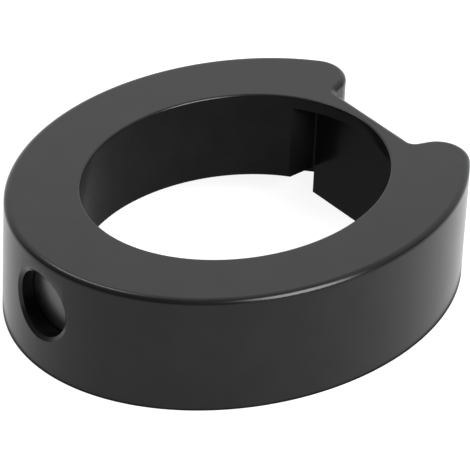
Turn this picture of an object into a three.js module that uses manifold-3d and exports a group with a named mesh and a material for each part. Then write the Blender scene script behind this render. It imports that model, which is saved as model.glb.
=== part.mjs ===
// Oval shaft collar with a notched, hooked end and a radial set screw.
// Millimetres, +Z up, origin at the centre of the base. +X points from the screw hole to the notch.
import * as THREE from "three";
import * as BufferGeometryUtils from "three/addons/utils/BufferGeometryUtils.js";
import Module from "manifold-3d";

// ---- Driving dimensions ----
const HEIGHT = 16;
const OUTER = { a: 30.9, b: 25, x: 2.3 };      // outer ellipse: half length, half width, centre
const BORE = { a: 20.5, b: 16.7, x: 1.8 };     // bore ellipse
const TOP_RADIUS = 0.8;                        // rounding of the top outer edge
const SKIRT_DEPTH = 3.8;                       // recess in the underside
const SKIRT_WALL = 2.2;                        // rim wall left around that recess

const NOTCH_FLOOR_X = 24.05;                   // flat floor of the notch
const NOTCH_HALF_WIDTH = 7.4;                  // at the notch floor
const NOTCH_FLARE = 0.35;                      // widening of each side per millimetre of depth
const NOTCH_CORNER_RADIUS = 1;
const HORN_RADIUS = 3.86;                      // rounding of the horns beside the notch

const POCKET_HALF_WIDTH = 9.3;                 // hook pocket behind the notch floor
const POCKET_END_X = 23.05;
const LIP_THICKNESS = 1.7;                     // roof left over the hook pocket

const SCREW_Z = 9.2;                           // height of the radial hole
const MOUTH_RADIUS = 4.75;                     // widened mouth of the hole
const MOUTH_DEPTH = 0.8;
const COUNTERBORE_RADIUS = 4.25;
const COUNTERBORE_DEPTH = 4.2;
const COVER_RADIUS = 3.95;                     // plug that hides the screw
const COVER_DEPTH = 2.5;                       // of its face below the mouth
const COVER_THICKNESS = 1;
const THREAD_HOLE_RADIUS = 3.25;
const SCREW_RADIUS = 2.95;                     // M6, with its thread left plain
const SCREW_LENGTH = 4;
const SCREW_CHAMFER = 0.4;
const SOCKET_ACROSS_FLATS = 3;
const SOCKET_DEPTH = 2;
const PAD_RADIUS = 2.45;
const PAD_THICKNESS = 1;
const PAD_INSET = 0.2;                         // pad face behind the bore wall at rest
const PAD_GAP = 0.3;                           // between the pad and the screw's point

const OUTER_STEPS = 112;
const BORE_STEPS = 112;
const ARC_STEPS = 10;
const ROUND_STEPS = 48;
const OVERCUT = 1;

// ---- Solid helpers ----
const wasm = await Module();
wasm.setup();

function toSolid(geometry) {
  const bare = geometry.clone();
  bare.deleteAttribute("normal");
  bare.deleteAttribute("uv");
  const merged = BufferGeometryUtils.mergeVertices(bare, 1e-5);
  return new wasm.Manifold(new wasm.Mesh({
    numProp: 3,
    vertProperties: new Float32Array(merged.attributes.position.array),
    triVerts: new Uint32Array(merged.index.array),
  }));
}

function toGeometry(solid) {
  const mesh = solid.getMesh();
  const geometry = new THREE.BufferGeometry();
  geometry.setAttribute("position", new THREE.BufferAttribute(new Float32Array(mesh.vertProperties), 3));
  geometry.setIndex(new THREE.BufferAttribute(new Uint32Array(mesh.triVerts), 1));
  geometry.computeVertexNormals();
  return geometry;
}

function prism(points, low, high) {
  const geometry = new THREE.ExtrudeGeometry(new THREE.Shape(points), { depth: high - low, bevelEnabled: false });
  return toSolid(geometry.translate(0, 0, low));
}

function box(low, high) {
  const size = high.map((value, i) => value - low[i]);
  const centre = high.map((value, i) => (value + low[i]) / 2);
  return toSolid(new THREE.BoxGeometry(...size).translate(...centre));
}

// A turned piece on the axis of the radial hole: profile points are [radius, x].
function turned(profile) {
  const points = profile.map(([radius, x]) => new THREE.Vector2(radius, x));
  const geometry = new THREE.LatheGeometry(points, ROUND_STEPS);
  geometry.rotateZ(-Math.PI / 2);
  return toSolid(geometry.translate(0, 0, SCREW_Z));
}

function rod(radius, start, end) {
  return turned([[0, start], [radius, start], [radius, end], [0, end]]);
}

// ---- Plan outline of the collar ----
function ellipsePoint({ a, b, x }, angle) {
  return new THREE.Vector2(x + a * Math.cos(angle), b * Math.sin(angle));
}

function ellipseNormal({ a, b }, angle) {
  return new THREE.Vector2(Math.cos(angle) / a, Math.sin(angle) / b).normalize();
}

function ellipseLoop(ellipse, steps) {
  return Array.from({ length: steps }, (_, i) => ellipsePoint(ellipse, (2 * Math.PI * i) / steps));
}

function arc(centre, radius, from, to) {
  return Array.from({ length: ARC_STEPS + 1 }, (_, i) => {
    const angle = from + ((to - from) * i) / ARC_STEPS;
    return new THREE.Vector2(centre.x + radius * Math.cos(angle), centre.y + radius * Math.sin(angle));
  });
}

// The horn's rounding touches the outer ellipse at one angle and the notch side elsewhere.
function hornTouch() {
  const sideAngle = Math.atan(NOTCH_FLARE);
  const sideNormal = new THREE.Vector2(-Math.sin(sideAngle), Math.cos(sideAngle));
  const sideStart = new THREE.Vector2(NOTCH_FLOOR_X, NOTCH_HALF_WIDTH);
  const centreAt = (angle) =>
    ellipsePoint(OUTER, angle).addScaledVector(ellipseNormal(OUTER, angle), -HORN_RADIUS);
  let low = 0;
  let high = Math.PI / 2;
  for (let i = 0; i < 50; i += 1) {
    const middle = (low + high) / 2;
    const clearance = centreAt(middle).sub(sideStart).dot(sideNormal);
    if (clearance > HORN_RADIUS) {
      high = middle;
    } else {
      low = middle;
    }
  }
  return { angle: low, centre: centreAt(low), sideAngle };
}

// One side of the notch, from its floor to the outer ellipse, for y above zero.
function notchSide(horn) {
  const side = horn.sideAngle;
  const rise = NOTCH_CORNER_RADIUS * (NOTCH_FLARE - 1 / Math.cos(side));
  const corner = new THREE.Vector2(NOTCH_FLOOR_X + NOTCH_CORNER_RADIUS, NOTCH_HALF_WIDTH + rise);
  const concave = arc(corner, NOTCH_CORNER_RADIUS, Math.PI, Math.PI / 2 + side);
  const outward = ellipseNormal(OUTER, horn.angle).angle();
  const convex = arc(horn.centre, HORN_RADIUS, side - Math.PI / 2, outward);
  return [...concave, ...convex];
}

function outline() {
  const horn = hornTouch();
  const upper = notchSide(horn);
  const sweep = 2 * Math.PI - 2 * horn.angle;
  const oval = Array.from({ length: OUTER_STEPS - 1 }, (_, i) =>
    ellipsePoint(OUTER, horn.angle + (sweep * (i + 1)) / OUTER_STEPS));
  const lower = upper.map((point) => new THREE.Vector2(point.x, -point.y)).reverse();
  return [...upper, ...oval, ...lower];
}

// The same loop, moved inwards by a distance along each point's normal.
function inset(points, distance) {
  return points.map((point, i) => {
    const before = points[(i + points.length - 1) % points.length];
    const after = points[(i + 1) % points.length];
    const along = after.clone().sub(before).normalize();
    return new THREE.Vector2(point.x - along.y * distance, point.y + along.x * distance);
  });
}

// ---- Collar body ----
const OUTER_WALL_X = OUTER.x - OUTER.a;
const BORE_WALL_X = BORE.x - BORE.a;

function roundedBlank(points) {
  const below = OVERCUT + TOP_RADIUS;
  const geometry = new THREE.ExtrudeGeometry(new THREE.Shape(points), {
    depth: HEIGHT + below - 2 * TOP_RADIUS,
    bevelEnabled: true,
    bevelThickness: TOP_RADIUS,
    bevelSize: TOP_RADIUS,
    bevelOffset: -TOP_RADIUS,
    bevelSegments: 4,
  });
  const blank = toSolid(geometry.translate(0, 0, TOP_RADIUS - below));
  const reach = 2 * OUTER.a;
  return blank.subtract(box([-reach, -reach, -2 * below], [reach, reach, 0]));
}

function collarBody() {
  const plan = outline();
  const underside = prism(inset(plan, SKIRT_WALL), -OVERCUT, SKIRT_DEPTH);
  const bore = prism(ellipseLoop(BORE, BORE_STEPS), -OVERCUT, HEIGHT + OVERCUT);
  const pocket = box(
    [BORE.x, -POCKET_HALF_WIDTH, -OVERCUT],
    [POCKET_END_X, POCKET_HALF_WIDTH, HEIGHT - LIP_THICKNESS],
  );
  const mouth = rod(MOUTH_RADIUS, OUTER_WALL_X - OVERCUT, OUTER_WALL_X + MOUTH_DEPTH);
  const counterbore = rod(COUNTERBORE_RADIUS, OUTER_WALL_X, OUTER_WALL_X + COUNTERBORE_DEPTH);
  const threadHole = rod(THREAD_HOLE_RADIUS, OUTER_WALL_X, BORE.x);
  return roundedBlank(plan)
    .subtract(underside)
    .subtract(bore)
    .subtract(pocket)
    .subtract(mouth)
    .subtract(counterbore)
    .subtract(threadHole);
}

// ---- Cover, screw and pad in the radial hole ----
const PAD_END_X = BORE_WALL_X - PAD_INSET;
const PAD_START_X = PAD_END_X - PAD_THICKNESS;
const SCREW_END_X = PAD_START_X - PAD_GAP;
const SCREW_START_X = SCREW_END_X - SCREW_LENGTH;
const COVER_START_X = OUTER_WALL_X + COVER_DEPTH;

function screwCover() {
  return rod(COVER_RADIUS, COVER_START_X, COVER_START_X + COVER_THICKNESS);
}

function hexSocket() {
  const corner = SOCKET_ACROSS_FLATS / Math.sqrt(3);
  const geometry = new THREE.CylinderGeometry(corner, corner, SOCKET_DEPTH + OVERCUT, 6);
  geometry.rotateZ(-Math.PI / 2);
  const centre = SCREW_START_X + (SOCKET_DEPTH - OVERCUT) / 2;
  return toSolid(geometry.translate(centre, 0, SCREW_Z));
}

function setScrew() {
  const inner = SCREW_RADIUS - SCREW_CHAMFER;
  const blank = turned([
    [0, SCREW_START_X],
    [inner, SCREW_START_X],
    [SCREW_RADIUS, SCREW_START_X + SCREW_CHAMFER],
    [SCREW_RADIUS, SCREW_END_X - SCREW_CHAMFER],
    [inner, SCREW_END_X],
    [0, SCREW_END_X],
  ]);
  return blank.subtract(hexSocket());
}

function pressurePad() {
  return rod(PAD_RADIUS, PAD_START_X, PAD_END_X);
}

// ---- Assembly ----
function addPiece(group, name, solid, look) {
  const mesh = new THREE.Mesh(toGeometry(solid), new THREE.MeshStandardMaterial(look));
  mesh.name = name;
  group.add(mesh);
}

const collar = new THREE.Group();
addPiece(collar, "collar_body", collarBody(), { color: 0x1d1d1f, roughness: 0.38, metalness: 0 });
addPiece(collar, "screw_cover", screwCover(), { color: 0x18181a, roughness: 0.2, metalness: 0 });
addPiece(collar, "set_screw", setScrew(), { color: 0x2a2a2c, roughness: 0.35, metalness: 0.9 });
addPiece(collar, "pressure_pad", pressurePad(), { color: 0xb08d4c, roughness: 0.4, metalness: 1 });

export default collar;
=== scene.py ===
import math

import bmesh
import bpy
import numpy as np
from mathutils import Matrix, Vector


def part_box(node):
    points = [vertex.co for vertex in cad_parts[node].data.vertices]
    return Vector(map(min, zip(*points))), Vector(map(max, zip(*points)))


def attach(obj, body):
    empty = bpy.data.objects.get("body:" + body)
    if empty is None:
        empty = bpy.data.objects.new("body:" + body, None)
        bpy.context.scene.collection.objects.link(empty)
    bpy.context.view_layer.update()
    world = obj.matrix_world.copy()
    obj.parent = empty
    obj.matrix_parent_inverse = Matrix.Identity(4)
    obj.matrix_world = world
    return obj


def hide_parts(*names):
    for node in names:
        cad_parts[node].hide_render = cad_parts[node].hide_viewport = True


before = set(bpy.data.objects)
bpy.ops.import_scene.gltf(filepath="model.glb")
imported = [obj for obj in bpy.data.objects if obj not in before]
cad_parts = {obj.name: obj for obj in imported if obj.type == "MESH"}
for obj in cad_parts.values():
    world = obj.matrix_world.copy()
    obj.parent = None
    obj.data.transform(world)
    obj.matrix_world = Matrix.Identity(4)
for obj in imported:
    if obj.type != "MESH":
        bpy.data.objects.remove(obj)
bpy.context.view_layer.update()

# ---- Driving dimensions, in millimetres until a mesh is made ----
MM = 0.001
body_low, body_high = (np.array(corner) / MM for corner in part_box("collar_body"))
cover_low, cover_high = (np.array(corner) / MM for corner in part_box("screw_cover"))
screw_low, screw_high = (np.array(corner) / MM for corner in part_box("set_screw"))
pad_low, pad_high = (np.array(corner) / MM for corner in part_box("pressure_pad"))

HEIGHT = body_high[2]
OUTER_X = body_low[0]                      # the hole's end of the collar
OUTER_A = 30.9                             # outer ellipse: half length and half width
OUTER_B = body_high[1]
OUTER_CENTRE = OUTER_X + OUTER_A
BORE_A = 20.5
BORE_B = 16.7
BORE_CENTRE = 1.8

TOP_RADIUS = 0.8
BASE_RADIUS = 0.1
BORE_EDGE_RADIUS = 0.3
SKIRT_DEPTH = 3.8
SKIRT_WALL = 2.2
SKIRT_CORNER_RADIUS = 0.15
NOTCH_FLOOR_X = 24.05
NOTCH_HALF_WIDTH = 7.4
NOTCH_FLARE = 0.35
NOTCH_CORNER_RADIUS = 1.0
HORN_RADIUS = 3.86
POCKET_HALF_WIDTH = 9.3
POCKET_END_X = 23.05
POCKET_CORNER_RADIUS = 0.25
LIP_THICKNESS = 1.7

HOLE_Z = (screw_low[2] + screw_high[2]) / 2
MOUTH_RADIUS = 4.75
MOUTH_CHAMFER = 0.35
MOUTH_EDGE = 0.06                          # softens the line between the chamfer and the wall
COUNTERBORE_RADIUS = 4.25
COUNTERBORE_DEPTH = 4.2
COVER_CLEARANCE = 0.03
COVER_EDGE_RADIUS = 0.15
PITCH = 1.0
THREAD_MINOR = 2.5
THREAD_MAJOR = 3.0
THREAD_CLEARANCE = 0.05
THREAD_ROOT = 0.15                         # flat of the root, as a share of the pitch
THREAD_FLANKS = 0.65                       # both flanks together, as a share of the pitch
SCREW_OUTER_CHAMFER = 0.1                  # below the thread's root, at the socket end
SCREW_POINT_CHAMFER = 0.3
SOCKET_ACROSS_FLATS = 3.0
SOCKET_DEPTH = 2.0
SOCKET_LEAD_IN = 0.35
SOCKET_LEAD_IN_OVERRUN = 0.45              # of the lead-in cone, inside the hexagon's corners
SOCKET_POINT_DEPTH = 0.9                   # of the tapered bottom of the socket
SOCKET_POINT_SHARE = 0.1                   # width left at that bottom
PAD_CLEARANCE = 0.1
PAD_EDGE_RADIUS = 0.15
OVERCUT = 1.0

# ---- Mesh resolution ----
OVAL_STEPS = 440
ARC_STEPS = 28
BORE_STEPS = 360
MOUTH_STEPS = 128
TURNED_STEPS = 96
LEAD_IN_STEPS = 64
RINGS_PER_PITCH = 16
TOP_EDGE_RINGS = 14
BODY_EDGE_RINGS = 6
SMALL_EDGE_RINGS = 5
POCKET_CORNER_STEPS = 5
CARD_OVAL_STEPS = 120
CARD_ARC_STEPS = 8
SMOOTH_ANGLE = math.radians(32)            # sharper edges than this stay sharp

QUARTER = math.pi / 2


# ---- Plan outline of the collar ----
def ellipse_point(a, b, centre, angle):
    return np.array([centre + a * math.cos(angle), b * math.sin(angle)])


def ellipse_normal(a, b, angle):
    normal = np.array([math.cos(angle) / a, math.sin(angle) / b])
    return normal / np.linalg.norm(normal)


def arc(centre, radius, start, end, steps):
    angles = np.linspace(start, end, steps + 1)
    return np.column_stack([centre[0] + radius * np.cos(angles), centre[1] + radius * np.sin(angles)])


def horn_touch():
    """Where the horn's rounding leaves the outer ellipse, and its centre."""
    side = math.atan(NOTCH_FLARE)
    side_normal = np.array([-math.sin(side), math.cos(side)])
    start = np.array([NOTCH_FLOOR_X, NOTCH_HALF_WIDTH])

    def centre_at(angle):
        point = ellipse_point(OUTER_A, OUTER_B, OUTER_CENTRE, angle)
        return point - HORN_RADIUS * ellipse_normal(OUTER_A, OUTER_B, angle)

    low, high = 0.0, QUARTER
    for _ in range(50):
        middle = (low + high) / 2
        if (centre_at(middle) - start) @ side_normal > HORN_RADIUS:
            high = middle
        else:
            low = middle
    return low, centre_at(low), side


def outline(oval_steps=OVAL_STEPS, arc_steps=ARC_STEPS):
    angle, horn, side = horn_touch()
    rise = NOTCH_CORNER_RADIUS * (NOTCH_FLARE - 1 / math.cos(side))
    corner = (NOTCH_FLOOR_X + NOTCH_CORNER_RADIUS, NOTCH_HALF_WIDTH + rise)
    normal = ellipse_normal(OUTER_A, OUTER_B, angle)
    outward = math.atan2(normal[1], normal[0])
    upper = np.vstack([
        arc(corner, NOTCH_CORNER_RADIUS, math.pi, QUARTER + side, arc_steps),
        arc(horn, HORN_RADIUS, side - QUARTER, outward, arc_steps),
    ])
    angles = np.linspace(angle, 2 * math.pi - angle, oval_steps + 1)[1:-1]
    oval = np.column_stack([OUTER_CENTRE + OUTER_A * np.cos(angles), OUTER_B * np.sin(angles)])
    lower = upper[::-1] * (1, -1)
    return np.vstack([upper, oval, lower])


def inset(loop, distance):
    """The loop moved inwards, along each point's normal. A negative distance moves it outwards."""
    along = np.roll(loop, -1, axis=0) - np.roll(loop, 1, axis=0)
    along /= np.linalg.norm(along, axis=1)[:, None]
    return loop + distance * np.column_stack([-along[:, 1], along[:, 0]])


def ellipse_loop(a, b, centre, steps):
    angles = np.linspace(0, 2 * math.pi, steps, endpoint=False)
    return np.column_stack([centre + a * np.cos(angles), b * np.sin(angles)])


# ---- Mesh helpers ----
def new_object(name, points, faces):
    """A mesh object whose faces point out."""
    mesh = bpy.data.meshes.new(name)
    mesh.from_pydata([tuple(point) for point in np.asarray(points) * MM], [], faces)
    work = bmesh.new()
    work.from_mesh(mesh)
    bmesh.ops.recalc_face_normals(work, faces=work.faces)
    work.to_mesh(mesh)
    work.free()
    thing = bpy.data.objects.new(name, mesh)
    bpy.context.scene.collection.objects.link(thing)
    return thing


def loft(name, rings):
    """A closed solid through rings of the same number of points, capped at both ends."""
    count = len(rings[0])
    faces = [tuple(range(count))[::-1], tuple(range((len(rings) - 1) * count, len(rings) * count))]
    for i in range(len(rings) - 1):
        for j in range(count):
            k = (j + 1) % count
            faces.append((i * count + j, i * count + k, (i + 1) * count + k, (i + 1) * count + j))
    return new_object(name, np.vstack(rings), faces)


def level(loop, z):
    return np.column_stack([loop, np.full(len(loop), z)])


def turned_rings(profile, steps):
    """Rings round the hole's axis. The profile is pairs of radius and x."""
    angles = np.linspace(0, 2 * math.pi, steps, endpoint=False)
    return [
        np.column_stack([np.full(steps, x), radius * np.cos(angles), HOLE_Z + radius * np.sin(angles)])
        for radius, x in profile
    ]


def cut(thing, cutter):
    modifier = thing.modifiers.new("cut", "BOOLEAN")
    modifier.operation = "DIFFERENCE"
    modifier.solver = "EXACT"
    modifier.object = cutter
    apply_modifiers(thing)
    bpy.data.objects.remove(cutter)


def apply_modifiers(thing):
    bpy.context.view_layer.update()
    evaluated = thing.evaluated_get(bpy.context.evaluated_depsgraph_get())
    thing.data = bpy.data.meshes.new_from_object(evaluated)
    thing.modifiers.clear()


def smooth(thing):
    """Smooth shading that keeps real edges and flat faces."""
    for polygon in thing.data.polygons:
        polygon.use_smooth = True
    thing.data.set_sharp_from_angle(angle=SMOOTH_ANGLE)
    modifier = thing.modifiers.new("weighted", "WEIGHTED_NORMAL")
    modifier.keep_sharp = True
    modifier.weight = 100
    apply_modifiers(thing)


# ---- Collar body ----
def body_blank(plan):
    rings = []
    for turn in np.linspace(0, QUARTER, SMALL_EDGE_RINGS):
        edge = BASE_RADIUS * (1 - math.sin(turn))
        rings.append(level(inset(plan, edge), BASE_RADIUS * (1 - math.cos(turn))))
    for turn in np.linspace(0, QUARTER, TOP_EDGE_RINGS):
        edge = TOP_RADIUS * (1 - math.cos(turn))
        rings.append(level(inset(plan, edge), HEIGHT - TOP_RADIUS * (1 - math.sin(turn))))
    return loft("collar_ring", rings)


def bore_cutter():
    loop = ellipse_loop(BORE_A, BORE_B, BORE_CENTRE, BORE_STEPS)
    rings = [level(inset(loop, -BORE_EDGE_RADIUS), -OVERCUT)]
    for turn in np.linspace(QUARTER, 0, BODY_EDGE_RINGS):
        rings.append(level(
            inset(loop, -BORE_EDGE_RADIUS * (1 - math.cos(turn))),
            SKIRT_DEPTH + BORE_EDGE_RADIUS * (1 - math.sin(turn)),
        ))
    for turn in np.linspace(0, QUARTER, BODY_EDGE_RINGS):
        rings.append(level(
            inset(loop, -BORE_EDGE_RADIUS * (1 - math.cos(turn))),
            HEIGHT - BORE_EDGE_RADIUS * (1 - math.sin(turn)),
        ))
    rings.append(level(inset(loop, -BORE_EDGE_RADIUS), HEIGHT + OVERCUT))
    return loft("bore", rings)


def underside_cutter(plan):
    corner = SKIRT_CORNER_RADIUS
    rings = [level(inset(plan, SKIRT_WALL), -OVERCUT)]
    for turn in np.linspace(0, QUARTER, BODY_EDGE_RINGS):
        edge = SKIRT_WALL + corner * (1 - math.cos(turn))
        rings.append(level(inset(plan, edge), SKIRT_DEPTH - corner * (1 - math.sin(turn))))
    return loft("underside", rings)


def pocket_cutter():
    corner = POCKET_CORNER_RADIUS
    far = POCKET_END_X - corner
    side = POCKET_HALF_WIDTH - corner
    loop = np.vstack([
        [(BORE_CENTRE, -POCKET_HALF_WIDTH)],
        arc((far, -side), corner, -QUARTER, 0, POCKET_CORNER_STEPS),
        arc((far, side), corner, 0, QUARTER, POCKET_CORNER_STEPS),
        [(BORE_CENTRE, POCKET_HALF_WIDTH)],
    ])
    return loft("pocket", [level(loop, -OVERCUT), level(loop, HEIGHT - LIP_THICKNESS)])


def mouth_cutter():
    """The counterbore of the radial hole. Its chamfer follows the curve of the outer wall."""
    angles = np.linspace(0, 2 * math.pi, MOUTH_STEPS, endpoint=False)

    def ring(radius, depth):
        y = radius * np.cos(angles)
        wall = OUTER_CENTRE - OUTER_A * np.sqrt(1 - (y / OUTER_B) ** 2)
        return np.column_stack([wall + depth, y, HOLE_Z + radius * np.sin(angles)])

    floor = ring(COUNTERBORE_RADIUS, 0)
    floor[:, 0] = OUTER_X + COUNTERBORE_DEPTH
    return loft("mouth", [
        floor,
        ring(COUNTERBORE_RADIUS, MOUTH_CHAMFER),
        ring(MOUTH_RADIUS - MOUTH_EDGE, MOUTH_EDGE),
        ring(MOUTH_RADIUS, 0.3 * MOUTH_EDGE),
        ring(MOUTH_RADIUS + MOUTH_EDGE, 0),
        ring(MOUTH_RADIUS + MOUTH_EDGE, -OVERCUT),
    ])


def thread_radius(x, angle, minor, major):
    """Radius of a thread with flat roots and crests, at x along the axis."""
    phase = (x / PITCH - angle / (2 * math.pi)) % 1.0
    ramp = np.clip((np.abs(phase - 0.5) * 2 - THREAD_ROOT) / THREAD_FLANKS, 0, 1)
    return minor + (major - minor) * ramp


def threaded_rod(name, start, end, minor, major, cone_start=None, cone_end=None):
    """A solid rod with a helical thread. A 45 degree cone is given by its radius at the end face."""
    angles = np.linspace(0, 2 * math.pi, TURNED_STEPS, endpoint=False)
    rings = []
    for x in np.linspace(start, end, int((end - start) / PITCH * RINGS_PER_PITCH) + 1):
        radius = thread_radius(x, angles, minor, major)
        if cone_start:
            radius = np.minimum(radius, cone_start + x - start)
        if cone_end:
            radius = np.minimum(radius, cone_end + end - x)
        rings.append(np.column_stack([
            np.full(TURNED_STEPS, x), radius * np.cos(angles), HOLE_Z + radius * np.sin(angles),
        ]))
    return loft(name, rings)


def collar_ring():
    plan = outline()
    ring = body_blank(plan)
    cut(ring, underside_cutter(plan))
    cut(ring, bore_cutter())
    cut(ring, pocket_cutter())
    cut(ring, mouth_cutter())
    cut(ring, threaded_rod(
        "tapped_hole", OUTER_X, BORE_CENTRE - BORE_A + OVERCUT, THREAD_MINOR, THREAD_MAJOR,
    ))
    smooth(ring)
    return ring


# ---- Screw, pad and cover ----
def socket_cutters():
    corner = SOCKET_ACROSS_FLATS / math.sqrt(3)
    start = screw_low[0]

    def hexagon(radius, x):
        return turned_rings([(radius, x)], 6)[0]

    cutter = loft("socket", [
        hexagon(corner, start - OVERCUT),
        hexagon(corner, start + SOCKET_DEPTH),
        hexagon(corner * SOCKET_POINT_SHARE, start + SOCKET_DEPTH + SOCKET_POINT_DEPTH),
    ])
    cone = loft("lead_in", turned_rings([
        (corner + SOCKET_LEAD_IN + OVERCUT, start - OVERCUT),
        (corner - SOCKET_LEAD_IN_OVERRUN, start + SOCKET_LEAD_IN + SOCKET_LEAD_IN_OVERRUN),
    ], LEAD_IN_STEPS))
    return cutter, cone


def grub_screw():
    minor = THREAD_MINOR - THREAD_CLEARANCE
    major = THREAD_MAJOR - THREAD_CLEARANCE
    screw = threaded_rod(
        "grub_screw", screw_low[0], screw_high[0], minor, major,
        cone_start=minor - SCREW_OUTER_CHAMFER, cone_end=minor - SCREW_POINT_CHAMFER,
    )
    for cutter in socket_cutters():
        cut(screw, cutter)
    smooth(screw)
    return screw


def round_disc(name, radius, edge, start, end):
    """A turned disc on the hole's axis, with its two edges rounded."""
    profile = []
    for turn in np.linspace(QUARTER, 0, SMALL_EDGE_RINGS):
        profile.append((radius - edge * (1 - math.cos(turn)), start + edge * (1 - math.sin(turn))))
    for turn in np.linspace(0, QUARTER, SMALL_EDGE_RINGS):
        profile.append((radius - edge * (1 - math.cos(turn)), end - edge * (1 - math.sin(turn))))
    disc = loft(name, turned_rings(profile, TURNED_STEPS))
    smooth(disc)
    return disc


def brass_pad():
    return round_disc("brass_pad", THREAD_MINOR - PAD_CLEARANCE, PAD_EDGE_RADIUS, pad_low[0], pad_high[0])


def hole_cover():
    radius = COUNTERBORE_RADIUS - COVER_CLEARANCE
    return round_disc("hole_cover", radius, COVER_EDGE_RADIUS, cover_low[0], cover_high[0])


# ---- Materials ----
def new_material(name):
    material = bpy.data.materials.new(name)
    material.use_nodes = True
    nodes = material.node_tree.nodes
    return material, nodes, material.node_tree.links, nodes["Principled BSDF"]


def noise(nodes, links, scale, detail, coordinates):
    texture = nodes.new("ShaderNodeTexNoise")
    texture.inputs["Scale"].default_value = scale
    texture.inputs["Detail"].default_value = detail
    links.new(coordinates.outputs["Object"], texture.inputs["Vector"])
    return texture


def remap(nodes, links, value, low, high):
    node = nodes.new("ShaderNodeMapRange")
    node.inputs["To Min"].default_value = low
    node.inputs["To Max"].default_value = high
    links.new(value, node.inputs["Value"])
    return node.outputs["Result"]


def mottled(name, scale, detail, dark, light, smoothest, roughest, span=(0, 1)):
    """A material whose colour and roughness follow one noise. The span is where the colours are reached."""
    material, nodes, links, shader = new_material(name)
    coordinates = nodes.new("ShaderNodeTexCoord")
    mottle = noise(nodes, links, scale, detail, coordinates)
    ramp = nodes.new("ShaderNodeValToRGB")
    for element, position, colour in zip(ramp.color_ramp.elements, span, (dark, light)):
        element.position = position
        element.color = (*colour, 1)
    links.new(mottle.outputs["Fac"], ramp.inputs["Fac"])
    links.new(ramp.outputs["Color"], shader.inputs["Base Color"])
    links.new(remap(nodes, links, mottle.outputs["Fac"], smoothest, roughest), shader.inputs["Roughness"])
    return material, nodes, links, shader, coordinates


def satin_black():
    material, nodes, links, shader, coordinates = mottled(
        "satin_black", 260, 3, (0.0036, 0.0036, 0.0038), (0.0050, 0.0050, 0.0053), 0.19, 0.25, (0.3, 0.7))
    shader.inputs["Specular IOR Level"].default_value = 0.2
    grain = noise(nodes, links, 9000, 2, coordinates)
    bump = nodes.new("ShaderNodeBump")
    bump.inputs["Strength"].default_value = 0.05
    bump.inputs["Distance"].default_value = 0.00002
    links.new(grain.outputs["Fac"], bump.inputs["Height"])
    links.new(bump.outputs["Normal"], shader.inputs["Normal"])
    return material


def gloss_black():
    material, _, _, shader, _ = mottled(
        "gloss_black", 900, 3, (0.004, 0.004, 0.0042), (0.007, 0.007, 0.0073), 0.27, 0.33)
    shader.inputs["Specular IOR Level"].default_value = 0.9
    return material


def black_oxide():
    material, _, _, shader, _ = mottled(
        "black_oxide", 700, 4, (0.045, 0.045, 0.05), (0.09, 0.09, 0.095), 0.28, 0.42)
    shader.inputs["Metallic"].default_value = 1.0
    return material


def turned_brass():
    material, _, _, shader, _ = mottled(
        "turned_brass", 500, 3, (0.50, 0.34, 0.12), (0.62, 0.45, 0.19), 0.25, 0.4)
    shader.inputs["Metallic"].default_value = 1.0
    return material


def add_piece(piece, node, body, material):
    piece.data.materials.clear()
    piece.data.materials.append(material)
    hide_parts(node)
    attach(piece, body)


# ---- Camera ----
CAMERA_AZIMUTH = math.radians(-41.21)
CAMERA_ELEVATION = math.radians(34.41)
CAMERA_ROLL = math.radians(2.71)
CAMERA_DISTANCE = 507.6          # millimetres, from the point it looks at
CAMERA_LENS = 313.65
LOOK_AT = (4.0, 0.0, HEIGHT / 2)
FRAME_OFFSET = (1.467, 1.658)    # millimetres that the object stands right and up of the view's middle

SIGHT = (
    -math.sin(CAMERA_AZIMUTH) * math.cos(CAMERA_ELEVATION),
    math.cos(CAMERA_AZIMUTH) * math.cos(CAMERA_ELEVATION),
    -math.sin(CAMERA_ELEVATION),
)


def add_camera():
    right = Vector((math.cos(CAMERA_AZIMUTH), math.sin(CAMERA_AZIMUTH), 0))
    forward = Vector(SIGHT)
    up = right.cross(forward)
    place = Vector(LOOK_AT) - CAMERA_DISTANCE * forward - FRAME_OFFSET[0] * right - FRAME_OFFSET[1] * up
    turned_right = math.cos(CAMERA_ROLL) * right + math.sin(CAMERA_ROLL) * up
    turned_up = math.cos(CAMERA_ROLL) * up - math.sin(CAMERA_ROLL) * right
    data = bpy.data.cameras.new("camera")
    data.lens = CAMERA_LENS
    data.sensor_width = 36
    data.clip_start = 0.01
    data.clip_end = 20
    camera = bpy.data.objects.new("camera", data)
    rotation = Matrix((turned_right, turned_up, -forward)).transposed().to_4x4()
    camera.matrix_world = Matrix.Translation(place * MM) @ rotation
    bpy.context.scene.collection.objects.link(camera)
    bpy.context.scene.camera = camera


# ---- Floor and light ----
BACKDROP_ELEVATION = math.radians(34)
FLOOR_SIZE = 3.0                 # metres, as are the drops and the light boxes
FLOOR_DROP = 0.00002
UNDER_CARD_DROP = 0.00001
UNDER_CARD_MARGIN = 0.4          # millimetres past the collar's outline
# painted shade: the glow of the card that reflections show in place of the shadow under the collar
PAINTED_SHADE_GLOW = 0.25
CENTRE = Vector((0, 0, HEIGHT / 2 * MM))
LIGHT_DISTANCE = 0.6


def add_sheet(name, corners, material):
    mesh = bpy.data.meshes.new(name)
    mesh.from_pydata(corners, [], [tuple(range(len(corners)))])
    mesh.materials.append(material)
    sheet = bpy.data.objects.new(name, mesh)
    bpy.context.scene.collection.objects.link(sheet)
    return sheet


def add_floor():
    """A pale floor that gives off some light, so it stays white round the object."""
    material, _, _, shader = new_material("floor_white")
    shader.inputs["Base Color"].default_value = (0.2, 0.2, 0.2, 1)
    shader.inputs["Roughness"].default_value = 0.9
    shader.inputs["Specular IOR Level"].default_value = 0.1
    shader.inputs["Emission Color"].default_value = (1, 1, 1, 1)
    shader.inputs["Emission Strength"].default_value = 0.9
    half, z = FLOOR_SIZE / 2, -FLOOR_DROP
    add_sheet("floor", [(-half, -half, z), (half, -half, z), (half, half, z), (-half, half, z)], material)


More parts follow.
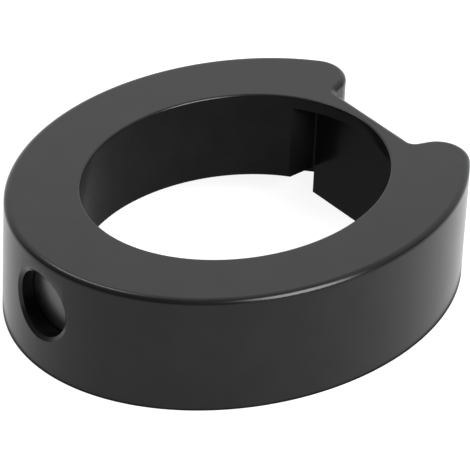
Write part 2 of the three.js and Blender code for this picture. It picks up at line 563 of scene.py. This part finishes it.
def add_painted_shade_sheet():
    """A dark, faintly glowing card under the collar: painted shade in place of the shadow under and inside
    the ring. Only reflections see it, so it keeps the bore and the base edge dark.
    """
    material, _, _, shader = new_material("painted_shade_card")
    shader.inputs["Base Color"].default_value = (0, 0, 0, 1)
    shader.inputs["Specular IOR Level"].default_value = 0.0
    shader.inputs["Emission Color"].default_value = (1, 1, 1, 1)
    shader.inputs["Emission Strength"].default_value = PAINTED_SHADE_GLOW
    loop = inset(outline(CARD_OVAL_STEPS, CARD_ARC_STEPS), -UNDER_CARD_MARGIN)
    card = add_sheet("painted_shade_sheet", level(loop * MM, -UNDER_CARD_DROP), material)
    # painted shade: only reflections see this card, not the camera, lamps or diffuse light
    card.visible_camera = False
    card.visible_diffuse = False
    card.visible_shadow = False


def add_light(name, azimuth, elevation, size, radiance):
    """A soft box that faces the object. Its radiance is what a mirror in its place would show."""
    azimuth, elevation = math.radians(azimuth), math.radians(elevation)
    away = Vector((
        math.cos(elevation) * math.cos(azimuth),
        math.cos(elevation) * math.sin(azimuth),
        math.sin(elevation),
    ))
    data = bpy.data.lights.new(name, "AREA")
    data.shape = "RECTANGLE"
    data.size, data.size_y = size
    data.energy = radiance * size[0] * size[1] * math.pi
    light = bpy.data.objects.new(name, data)
    light.location = CENTRE + LIGHT_DISTANCE * away
    light.rotation_euler = away.to_track_quat("Z", "Y").to_euler()
    bpy.context.scene.collection.objects.link(light)


def add_world():
    """A studio that is bright behind the object, as the camera sees it, and dim on the camera's side."""
    world = bpy.data.worlds.new("studio")
    world.use_nodes = True
    nodes, links = world.node_tree.nodes, world.node_tree.links
    direction = nodes.new("ShaderNodeTexCoord")
    towards = nodes.new("ShaderNodeVectorMath")
    towards.operation = "DOT_PRODUCT"
    level_sight = Vector((SIGHT[0], SIGHT[1], 0)).normalized() * math.cos(BACKDROP_ELEVATION)
    towards.inputs[1].default_value = (level_sight.x, level_sight.y, math.sin(BACKDROP_ELEVATION))
    links.new(direction.outputs["Generated"], towards.inputs[0])
    ramp = nodes.new("ShaderNodeValToRGB")
    stops = ((0.35, 0.08), (0.62, 0.14), (0.80, 0.66), (1.0, 0.88))
    ramp.color_ramp.elements.new(0.5)
    ramp.color_ramp.elements.new(0.6)
    for element, (position, value) in zip(ramp.color_ramp.elements, stops):
        element.position = position
        element.color = (value, value, value, 1)
    spread = nodes.new("ShaderNodeMapRange")
    spread.inputs["From Min"].default_value = -1
    links.new(towards.outputs["Value"], spread.inputs["Value"])
    links.new(spread.outputs["Result"], ramp.inputs["Fac"])
    background = nodes["Background"]
    background.inputs["Strength"].default_value = 2.0
    links.new(ramp.outputs["Color"], background.inputs["Color"])
    bpy.context.scene.world = world


add_camera()
add_piece(collar_ring(), "collar_body", "collar", satin_black())
add_piece(hole_cover(), "screw_cover", "cover", gloss_black())
add_piece(grub_screw(), "set_screw", "screw", black_oxide())
add_piece(brass_pad(), "pressure_pad", "pad", turned_brass())
add_floor()
add_painted_shade_sheet()
add_light("left_box", azimuth=108, elevation=64, size=(0.13, 0.26), radiance=12)
add_light("right_box", azimuth=-80, elevation=34, size=(0.32, 0.40), radiance=20)
add_world()
bpy.context.scene.view_settings.view_transform = "Standard"
